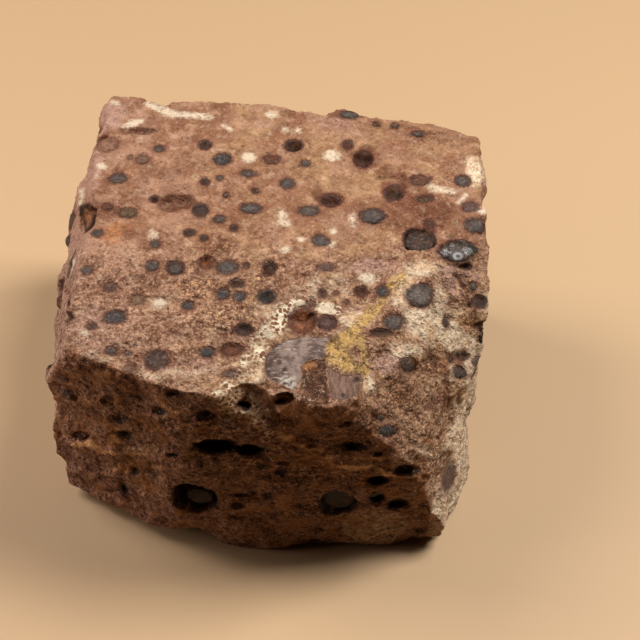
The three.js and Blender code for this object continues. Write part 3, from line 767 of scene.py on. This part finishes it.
# Each pisolith adds its relief, less near the foot of the sides. One that lies deep in a socket
# is also levelled: its heart stands above the socket's floor.
places = points_of(rock)
shift = np.zeros_like(places)
for pea in peas:
    near, out = pea.reach(places)
    grow = above_base[near] if pea.out[2] > -0.7 else 1
    shift[near] += pea.out * (relief_of(pea.form, out, pea.radius) * grow)[:, None]
    if pea.form in ("loose", "filled"):
        level = pea.radius * (0.6 * pea.heart(places[near]) - 0.85)
        move = (level - (places[near] - pea.centre) @ pea.out) * soft_step(1.02, 0.9, out)
        shift[near] += pea.out * move[:, None]
crack = from_strokes(CRACKS, marks["top"], view)
depth = CRACK_DEPTH * soft_step(0.5, -0.4, crack)
edges = PEBBLE_EDGE * bump(np.minimum(pebble, 3), 0.15, PEBBLE_EDGE)
depth += edges + STRIPED_EDGE * bump(np.minimum(striped, 3), 0.1, STRIPED_EDGE)
for side, hollows in HOLLOWS.items():
    for *place, deep in hollows:
        depth += deep * stained({side: [(*place, 1)]}, marks, view)
shift -= normals * depth[:, None]
move_points(rock, places + shift)


def thin_out(chosen, share):
    """Decimates the chosen faces to a share of their number."""
    rock.data.polygons.foreach_set("select", chosen)
    bpy.ops.object.mode_set(mode="EDIT")
    bpy.ops.mesh.decimate(ratio=share)
    bpy.ops.object.mode_set(mode="OBJECT")


def faces_among(points):
    """For each face, whether all of its points are among the ones that count."""
    return np.array([all(points[v] for v in face.vertices) for face in rock.data.polygons])


# The side that is seen close by keeps more of its triangles. A vertex group tells its points
# from the others once the hidden ones have been thinned out.
only(rock)
bpy.ops.object.mode_set(mode="EDIT")
bpy.ops.mesh.select_mode(type="FACE")
bpy.ops.mesh.select_all(action="DESELECT")
bpy.ops.object.mode_set(mode="OBJECT")
rock.vertex_groups.clear()
rock.vertex_groups.new(name="seen").add(np.flatnonzero(view).tolist(), 1, "REPLACE")
thin_out(~faces_among(view), HIDDEN_SHARE)
seen_now = [any(member.weight > 0.5 for member in v.groups) for v in rock.data.vertices]
thin_out(faces_among(seen_now), SEEN_SHARE)
rock.data.polygons.foreach_set("use_smooth", [True] * len(rock.data.polygons))
rock.vertex_groups.clear()

# ---------------------------------------------------------------- marks on the surface
# What the material reads at each point of the rock: how far it is from each kind of thing, how
# much of each stain is on it (the film partly painted light), how much painted shade lies in its
# hollows, and the colour of the pisolith nearest to it.

# How dark the inside of a form is, partly darker clay and partly painted shade, and the share of
# that in a socket of light clay.
DARK_INSIDE = {"bowl": 0.35, "pit": 0.9, "socket": 0.9, "ring": 0.3}
LIGHT_SOCKET = 0.2


def mark(name, values):
    """A value for each point of the rock, for its material to read."""
    kind = "FLOAT_COLOR" if values.ndim == 2 else "FLOAT"
    marked = rock.data.attributes.new(name, kind, "POINT")
    field = "color" if values.ndim == 2 else "value"
    marked.data.foreach_set(field, values.astype(np.float32).ravel())


places = points_of(rock)
normals = normals_of(rock)
view = in_view(places)
hidden = 1 - view
marks = {side: seen_on(side, places) for side in ("top", "front")}
top = marks["top"]
nearest = np.full(len(places), FAR)
chalk = from_strokes(CHALK_STROKES, top, view)
colours = np.tile(srgb(COLOURS["umber"][0]), (len(places), 1))
dark_clay_and_shade = np.zeros(len(places))
glassy = np.zeros(len(places))
# The rim of a pisolith's colour is uneven in its own way here, a little out of line with its
# relief, as a stain is.
for pea in peas:
    near, out = pea.reach(places)
    if pea.colour == "glass":
        glassy[near] = soft_step(1.05, 0.95, out)
    away = (out - 1) * min(pea.wide, pea.high)
    if pea.form == "chalk":
        chalk[near] = np.minimum(chalk[near], away)
        continue
    closer = away < nearest[near]
    near, away, out = near[closer], away[closer], out[closer]
    nearest[near] = away
    rim_colour, heart_colour = (np.array(srgb(code)) for code in COLOURS[pea.colour])
    heart = soft_step(0.85, 0.4, out)[:, None]
    colours[near] = rim_colour + (heart_colour - rim_colour) * heart
    # Painted shade, with darker clay: the inside of a bowl, pit, socket or ring is darker.
    deep = DARK_INSIDE.get(pea.form, 0) * soft_step(1.1, 0.5, out)
    # Around a heart left in its socket the darkening is a painted shadow.
    if pea.form in HEARTS:
        deep = (1 - pea.heart(places[near])) * soft_step(1.15, 1, out)
    if pea.colour in ("orange", "clay") and pea.form == "socket":
        deep *= LIGHT_SOCKET
    # This one is darkened all over, partly painted shade.
    if pea.colour == "coal":
        deep = np.maximum(deep, 0.95 * soft_step(1.05, 0.95, out))
    dark_clay_and_shade[near] = deep


def near_plane(normal, point, reach):
    """1 on a fracture plane, falling to 0 at that distance from it."""
    way = np.array(normal) / np.linalg.norm(normal)
    return soft_step(reach, reach / 3, np.abs((places - np.array(point)) @ way))


# The front part of the right slope is bleached, and the hidden sides are patchy, with all of the
# stains that the seen ones have.
RIGHT_SLOPE = (0.943, -0.33, 0.025), (33.8, -30.4, 0)
patchy = noise_over(places, 13, 3.3)
pale = np.maximum(
    stained(PALE_SPOTS, marks, view),
    near_plane(*RIGHT_SLOPE, 3.5) * soft_step(-2, -14, places[:, 1]),
)
pale = np.maximum(pale, 0.7 * hidden * soft_step(0.16, 0.34, patchy))
# Faces turned to the left get film that is partly painted light on that side.
film_and_light = np.maximum(stained(FILM_AND_LIGHT_SPOTS, marks, view), 0.6 * soft_step(-0.45, -0.8, normals[:, 0]))
film_and_light = np.maximum(film_and_light, 0.6 * hidden * soft_step(0.1, 0.3, noise_over(places, 10, 8.1)))
rusty = stained(RUSTY_SPOTS, marks, view)
rusty = np.maximum(rusty, 0.8 * hidden * soft_step(-0.1, -0.3, patchy))
crust = from_strokes(CRUST_STROKES, top, view)
lace = from_strokes(LACE_STROKES, marks["front"], view)
mark("pea", nearest)
mark("pea_colour", colours)
mark("glass", glassy)
mark("dark_clay_and_shade", dark_clay_and_shade)
mark("chalk", chalk)
mark("pale", pale)
mark("film_and_light", film_and_light)
mark("rusty", rusty)
mark("grainy", np.maximum(view * soft_step(4, -13, top[:, 1]), 0.5 * hidden))
mark("crust", np.minimum(crust, lace))
mark("flow", from_strokes(FLOW_STROKES, marks["front"], view))
for name, strokes in (("ochre", OCHRE_STROKES), ("trail", TRAIL_STROKES), ("crack", CRACKS)):
    mark(name, from_strokes(strokes, top, view))
for name, outline in (
    ("pebble", PEBBLE_OUTLINE), ("chip", CHIP_OUTLINE), ("striped", STRIPED_OUTLINE),
):
    mark(name, from_outline(outline, top, view))
# The place on the plane of the top, and whether the eye sees it.
mark("seen", np.column_stack([top, view, np.ones(len(view))]))


def over_block(place):
    """How far a place stands above the smooth block, and how far the block faces back there."""
    near, normal, _, _ = smooth_rock.find_nearest(Vector(place))
    return (Vector(place) - near).dot(normal), normal.y


over = np.array([over_block(place) for place in places])
mark("relief", over[:, 0])
mark("front", soft_step(-0.5, -0.85, over[:, 1]))

# ---------------------------------------------------------------- finish of the rock
# Earthy, unpolished rock: red-brown clay full of fine grains and pores. One material covers the
# whole stone. Its colour is built up coat by coat, each over the ones before, and where a coat
# lies comes from the marks above and from noise in the rock.

paint = bpy.data.materials.new("earthy bauxite")
paint.use_nodes = True
tree = paint.node_tree
shader = tree.nodes["Principled BSDF"]


def plug(socket, value):
    """Puts a value or another node's output into a socket."""
    if isinstance(value, bpy.types.NodeSocket):
        tree.links.new(value, socket)
    else:
        socket.default_value = value


def add(kind, settings=None, **inputs):
    """A node with its settings, and its inputs given as values or as other nodes' outputs."""
    made = tree.nodes.new("ShaderNode" + kind)
    for name, value in (settings or {}).items():
        setattr(made, name, value)
    for name, value in inputs.items():
        plug(made.inputs[name.replace("_", " ")], value)
    return made


def maths(operation, *values):
    """A sum on values, each a number or another node's output."""
    made = add("Math", {"operation": operation})
    for socket, value in zip(made.inputs, values):
        plug(socket, value)
    return made.outputs[0]


def product(first, *others):
    """Values multiplied with each other."""
    for other in others:
        first = maths("MULTIPLY", first, other)
    return first


def scaled(value, factor, added):
    """A value times a factor, and something added to that."""
    return maths("MULTIPLY_ADD", value, factor, added)


def largest(first, *others):
    """The largest of several values."""
    for other in others:
        first = maths("MAXIMUM", first, other)
    return first


def between(value, low, high, most=1.0):
    """0 where a value is at low, most where it is at high, smooth in between."""
    made = add("MapRange", {"interpolation_type": "SMOOTHSTEP"}, Value=value)
    made.inputs["From Min"].default_value = low
    made.inputs["From Max"].default_value = high
    made.inputs["To Max"].default_value = most
    return made.outputs["Result"]


def mixed(share, first, second, way="MIX"):
    """Two colours mixed, with share of the second. A colour may be given as its code."""
    made = add("Mix", {"data_type": "RGBA", "blend_type": way})
    plug(made.inputs["Factor"], share)
    plug(made.inputs[6], srgb(first) if isinstance(first, str) else first)
    plug(made.inputs[7], srgb(second) if isinstance(second, str) else second)
    return made.outputs[2]


def coated(colour, *coats):
    """A colour with coats over it, each given as its share and its own colour."""
    for share, coat in coats:
        colour = mixed(share, colour, coat)
    return colour


spot = add("TexCoord").outputs["Object"]


def clouds(size, detail=3.0, roughness=0.6, place=spot):
    """Noise with lumps of about that size, from 0 to 1 around a half."""
    made = add("TexNoise", Vector=place, Scale=1 / (size * MM), Detail=detail)
    made.inputs["Roughness"].default_value = roughness
    return made.outputs["Fac"]


def grains(size, output="Distance"):
    """Cells of about that size."""
    return add("TexVoronoi", Vector=spot, Scale=1 / (size * MM)).outputs[output]


def lot(size):
    """A random value for each grain of that size."""
    return add("SeparateColor", Color=grains(size, "Color")).outputs["Red"]


def layer(name):
    """What is marked on the rock under that name."""
    return add("Attribute", {"attribute_name": name}).outputs


def ragged(name, size, amount):
    """A marked value, made ragged by that amount."""
    wobble = scaled(clouds(size, 2), amount, -amount / 2)
    return maths("ADD", layer(name)["Fac"], wobble)


def stretched(x, y, z):
    """The place on the rock, with each direction stretched that many times."""
    made = add("VectorMath", {"operation": "MULTIPLY"})
    plug(made.inputs[0], spot)
    plug(made.inputs[1], (x, y, z))
    return made.outputs[0]


seen = layer("seen")["Vector"]
seen_across = add("SeparateXYZ", Vector=seen).outputs["X"]


def close_to(x, y, radius, soft=0.15):
    """1 within a radius of a place on the plane of the top, where the eye sees it."""
    away = add("VectorMath", {"operation": "DISTANCE"})
    plug(away.inputs[0], seen)
    plug(away.inputs[1], (x, y, 1))
    return between(away.outputs["Value"], radius + soft, radius - soft)


# Where each thing lies, from 0 to 1, and how near the front the grain and the shade set in.
relief = layer("relief")["Fac"]
grainy = layer("grainy")["Fac"]
front = layer("front")["Fac"]
glass = layer("glass")["Fac"]
from_pea = maths("ADD", ragged("pea", 0.8, 0.8), scaled(clouds(0.3, 2), 0.5, -0.25))
pea_mask = between(from_pea, 0.42, -0.38)
pale_mask = between(ragged("pale", 1.7, 1.3), 0, 0.8, 0.93)
rusty_mask = between(ragged("rusty", 1.6, 0.9), 0.22, 0.7)
film_and_light_mask = between(ragged("film_and_light", 2.2, 0.8), 0.25, 0.75)
chalk_mask = product(
    between(ragged("chalk", 0.9, 1.5), 0.5, -0.5), between(clouds(0.8, 4, 0.7), 0.3, 0.5)
)
crust_mask = between(ragged("crust", 1.2, 2.2), 0.9, -0.1)
flow_mask = between(ragged("flow", 0.9, 2.2), 0.6, -0.5, 0.9)
ochre_mask = largest(
    between(ragged("ochre", 0.9, 1.5), 0.45, -0.45),
    between(ragged("trail", 1.0, 2.6), 0.7, -0.3, 0.9),
)
pebble_mask = between(ragged("pebble", 0.7, 0.4), 0.1, -0.1)
striped_mask = between(ragged("striped", 0.7, 0.5), 0.1, -0.1)
chip_mask = between(ragged("chip", 0.7, 0.5), 0.15, -0.15)
speck = lot(0.5)
fleck = lot(0.3)

# Ground: pinkish brown, more golden towards the left, with clouds, stains, grains and pores that
# are stronger where the rock is grainy.
strong = scaled(grainy, 0.45, 0.55)
light_grains = product(scaled(grainy, 0.42, 0.1), between(clouds(0.5, 5, 0.8), 0.5, 0.6))
dark_grains = product(scaled(grainy, 0.42, 0.26), between(clouds(0.7, 5, 0.8), 0.47, 0.39))
pores = product(between(grains(1.1), 0.26, 0.1), between(lot(1.1), 0.55, 0.7), strong)
golden = mixed(between(seen_across, -18, -4), "#93705c", "#917052")
ground = coated(
    mixed(between(clouds(8, 3), 0.4, 0.6), "#7a543e", golden),
    (product(strong, between(clouds(3.6, 5, 0.65), 0.48, 0.58, 0.8)), "#5f3b2a"),
    (product(strong, between(clouds(2.3, 4, 0.65), 0.52, 0.62, 0.75)), "#b08d75"),
    (between(clouds(5.5, 2), 0.5, 0.64, 0.5), "#8d6b59"),
    (close_to(-24, -0.4, 1.9, 1.4), "#a26c42"),
    # Film, partly painted light.
    (film_and_light_mask, "#9c7c70"),
    (product(rusty_mask, 0.85), "#613826"),
    (light_grains, "#c4a78e"),
    (dark_grains, "#4f2d1d"),
    (product(pores, 0.6), "#41231a"),
    (product(strong, between(fleck, 0.84, 0.94, 0.22)), "#cdb49e"),
    (product(strong, between(speck, 0.14, 0.06, 0.42)), "#4c281c"),
)

# Where it is rusty it crumbles: dark gaps, and light crumbs between them.
gaps = product(scaled(rusty_mask, 0.6, 0.4), grainy, between(clouds(1, 5, 0.8), 0.5, 0.41))
crumbs = product(rusty_mask, grainy, between(clouds(0.8, 5, 0.8), 0.5, 0.62))
ground = coated(ground, (product(gaps, 0.8), "#331a0e"), (crumbs, "#c9a27e"))

# Pale clay, mottled with brown.
pale_tone = coated(
    mixed(between(clouds(0.7, 4, 0.75), 0.38, 0.6), "#b29a81", "#dacdb6"),
    (between(clouds(2.2, 4), 0.5, 0.62, 0.5), "#ab9a88"),
    (between(clouds(3.1, 4), 0.5, 0.62, 0.5), "#bc976f"),
    (between(speck, 0.2, 0.08, 0.35), "#765543"),
    (between(clouds(0.9, 5, 0.75), 0.47, 0.38, 0.55), "#7c5c47"),
)

# Beaded crust: brown beads in cream walls, drab towards the left.
bead_size = between(lot(0.7), 0, 1, 0.16)
beads = between(maths("SUBTRACT", grains(0.7), bead_size), 0.36, 0.46)
drab = product(between(clouds(1.7, 3), 0.42, 0.6), between(seen_across, 3.6, 1.6, 0.7))
crust_tone = coated(mixed(beads, "#714a36", "#d6cdb6"), (drab, "#8f7459"))

# Ochre: mustard yellow with brown and sandy clouds, and a brown heart beside the pebble.
brown_heart = product(close_to(15.8, -25.4, 1.9, 0.9), between(clouds(0.9, 5, 0.7), 0.4, 0.52))
ochre_tone = coated(
    mixed(between(clouds(1.4, 5, 0.7), 0.46, 0.58), "#a6864c", "#6c5336"),
    (between(clouds(0.5, 4, 0.7), 0.46, 0.6, 0.7), "#c9ad7d"),
    (product(brown_heart, 0.8), "#5f4732"),
)

# Pebble: mauve grey, darker at its left edge, with light scratches, a painted highlight (its
# sheen) on its lower end, and pits.
scratches = between(clouds(0.5, 4, 0.7, stretched(0.35, 1, 1)), 0.53, 0.64, 0.7)
# A painted highlight: the sheen on the pebble's lower lobe.
painted_sheen = product(close_to(5.4, -30.8, 1.3, 0.7), between(clouds(0.8, 3), 0.4, 0.6))
pits = largest(close_to(3.9, -27, 0.5, 0.2), close_to(4.8, -28.4, 0.35))
pebble_tone = coated(
    mixed(between(clouds(2.4, 5, 0.65), 0.42, 0.58), "#7d6e68", "#4f3f3c"),
    (between(seen_across, 5.2, 2.4, 0.8), "#3f2d2b"),
    (scratches, "#a39a90"),
    (painted_sheen, "#aaa49b"),
    (product(pits, 0.8), "#2c1b17"),
)

# Its chip: rough brown crystals, some with dark faces, a light one on top, and fine pale veins.
veins = maths("ABSOLUTE", maths("ADD", clouds(2.4, 3, 0.6), -0.5))
chip_tone = coated(
    mixed(between(clouds(0.9, 5, 0.7), 0.42, 0.6), "#4a3125", "#75543f"),
    (between(lot(1.5), 0.35, 0.6, 0.6), "#38231a"),
    (close_to(8.6, -27.6, 1.1, 0.4), "#8a6040"),
    (between(veins, 0.016, 0.006, 0.7), "#b39b85"),
)

# The striped piece beside it, with two dark dents.
stripes = between(clouds(0.5, 3, 0.6, stretched(1, 0.3, 0.4)), 0.34, 0.7)
dents = largest(close_to(13.8, -33.1, 0.4), close_to(15.9, -30.2, 0.55, 0.25))
striped_tone = coated(mixed(stripes, "#553f37", "#7a6357"), (product(dents, 0.85), "#2a1a14"))

# All of them over the ground, then the cracks, rubbed ridges, and the halo of the pisoliths.
ground = coated(
    ground,
    (pale_mask, pale_tone),
    (flow_mask, "#e0c096"),
    (crust_mask, crust_tone),
    (ochre_mask, ochre_tone),
    (chalk_mask, "#c0b3a0"),
    (chip_mask, chip_tone),
    (pebble_mask, pebble_tone),
    (striped_mask, striped_tone),
    (between(layer("crack")["Fac"], 0.2, -0.3, 0.55), "#2a160f"),
    (between(relief, 0.1, 0.8, 0.25), "#c29c7f"),
    (between(from_pea, 0.8, 0.1, 0.5), "#643a2a"),
)

# Pisoliths, stained and specked, calmer on the front, with a thin dark rim.
specks = product(between(clouds(0.6, 5, 0.75), 0.5, 0.62), scaled(front, -0.38, 0.5))
pea_tone = coated(
    layer("pea_colour")["Color"],
    (between(clouds(1.3, 3), 0.5, 0.62, 0.55), "#4b3226"),
    (specks, "#796b60"),
    (between(clouds(0.5, 5, 0.75), 0.5, 0.38, 0.75), "#1a1311"),
)
rim = product(between(from_pea, -0.3, -0.05), between(from_pea, 0.16, 0.02))
broken_rim = product(rim, between(clouds(1.3, 2), 0.4, 0.65, 0.45))

# The glassy one is greyer in the middle, and whitish crystals stand in it, some in a ring.
ring = maths("SUBTRACT", close_to(33.2, -5.5, 0.85, 0.2), close_to(33.2, -5.5, 0.35, 0.15))
clumps = largest(
    close_to(31.3, -4.5, 0.8, 0.3),
    close_to(32.4, -3.1, 0.35, 0.2),
    close_to(34.8, -4.4, 0.8, 0.3),
)
clumps = product(clumps, between(clouds(0.5, 3), 0.42, 0.56))
ground = coated(
    ground,
    (pea_mask, pea_tone),
    (broken_rim, "#241511"),
    (product(glass, 0.3, close_to(33.1, -5, 1.5, 0.9)), "#5f5b5a"),
    (product(glass, 0.7, largest(ring, clumps)), "#a9afb6"),
)

# Sockets, bowls and pits are darker, partly darker clay and partly painted shade, with a painted
# shadow around each heart left in its socket. The rock below the smooth block is painted darker
# as shade. The front is painted darker and warmer as shade with warm bounce light, and given
# darker blots of painted shade and light flecks.
ground = coated(
    ground,
    # Darker clay and painted shade in sockets, bowls and pits.
    (product(layer("dark_clay_and_shade")["Fac"], 0.75), "#1a0e0a"),
    # Painted shade where the rock lies below the smooth block.
    (between(relief, 0.0, -0.8, 0.5), "#3e2015"),
)
# Painted shade: the front face is multiplied darker and warmer, standing in for its shade and the
# warm bounce light in it.
ground = mixed(front, ground, "#e4ccbc", "MULTIPLY")
# Near-black blots on the front, deepening its painted shade.
shade_blots = product(
    front,
    between(clouds(1.1, 5, 0.75), 0.5, 0.36, 0.85),
    between(largest(crust_mask, flow_mask), 0.6, 0.1),
)
ground = coated(
    ground,
    (shade_blots, "#150904"),
    (product(front, between(clouds(0.8, 5, 0.8), 0.55, 0.66, 0.5)), "#c9a88c"),
    # A warm coat on the front: painted warm bounce light.
    (product(front, between(clouds(4.5, 4, 0.6), 0.5, 0.62, 0.6)), "#8a5a30"),
)
plug(shader.inputs["Base Color"], ground)

# The calm parts shine a little, but hardly at all on the front, and the glassy one most.
calm = largest(pea_mask, pebble_mask, striped_mask)
dull = maths("ADD", product(calm, scaled(front, 0.3, -0.3)), 0.9)
plug(shader.inputs["Roughness"], scaled(glass, -0.35, dull))
shader.inputs["Specular IOR Level"].default_value = 0.25

# Fine relief: crumbs, lumps, grains and pores on the clay, a smoother skin on the calm parts.
lumps = maths("ADD", clouds(2.8, 3, 0.6), -0.55)
crumbly = product(clouds(0.9, 4, 0.65), scaled(grainy, 0.6, 0.32))
crumbly = scaled(grains(0.5), -0.12, crumbly)
crumbly = scaled(lumps, scaled(grainy, 1.1, 0.5), crumbly)
crumbly = scaled(speck, 0.06, crumbly)
crumbly = scaled(pores, -0.35, crumbly)
smooth = product(clouds(0.6, 5, 0.7), 0.38)
height = scaled(rim, -0.12, add("Mix", Factor=calm, A=crumbly, B=smooth).outputs["Result"])
plug(shader.inputs["Normal"], add("Bump", Height=height, Distance=MM).outputs["Normal"])

rock.data.materials.append(paint)
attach(rock, "root")
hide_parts("bauxite_stone")
